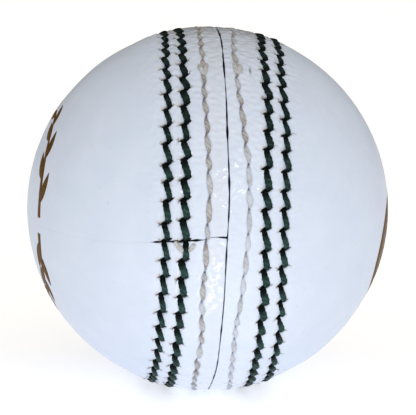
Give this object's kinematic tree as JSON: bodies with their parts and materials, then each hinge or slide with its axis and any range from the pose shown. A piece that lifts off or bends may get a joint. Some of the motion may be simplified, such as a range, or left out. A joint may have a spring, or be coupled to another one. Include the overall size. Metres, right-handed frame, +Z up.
{
  "type": "cricket ball",
  "caption": "Ball with a raised stitched seam round its middle, for cricket: four white leather quarters over linings, wound yarn and cork, sewn with rows of green and cream thread.",
  "frame": {"origin": "the ball's centre", "axes": "+X along the axis through the two poles, square to the main seam, towards the right cup; the main seam lies in the YZ plane; +Z up; -Y towards the viewer; the left cup's quarter seam is in the plane z = 0 and the right cup's in the plane y = 0"},
  "size_m": [0.0716, 0.0726, 0.0726],
  "materials": {
    "white_leather": "white pigmented leather under a clear gloss lacquer",
    "split_leather": "undyed split leather, matt",
    "green_thread": "waxed twisted thread, dark green",
    "cream_thread": "waxed twisted thread, off-white",
    "wool_yarn": "worsted yarn, wound tight",
    "cork": "raw cork, matt",
    "composition": "moulded cork and rubber granules, matt"
  },
  "bodies": {
    "root": {"outer_winding": "wool_yarn", "outer_cork_segment_1": "cork", "outer_cork_segment_2": "cork", "outer_cork_segment_3": "cork", "outer_cork_segment_4": "cork", "middle_winding": "wool_yarn", "inner_cork_segment_1": "cork", "inner_cork_segment_2": "cork", "inner_cork_segment_3": "cork", "inner_cork_segment_4": "cork", "inner_winding": "wool_yarn", "composition_core": "composition", "lining_left_front": "split_leather", "lining_left_back": "split_leather", "lining_right_upper": "split_leather", "lining_right_lower": "split_leather", "leather_left_upper": "white_leather", "leather_left_lower": "white_leather", "leather_right_front": "white_leather", "leather_right_back": "white_leather", "quarter_seam_thread_left": "cream_thread", "quarter_seam_thread_right": "cream_thread", "closing_stitches_left": "cream_thread", "closing_stitches_right": "cream_thread", "inner_stitches_left": "green_thread", "inner_stitches_right": "green_thread", "outer_stitches_left": "green_thread", "outer_stitches_right": "green_thread"}
  },
  "joints": []
}
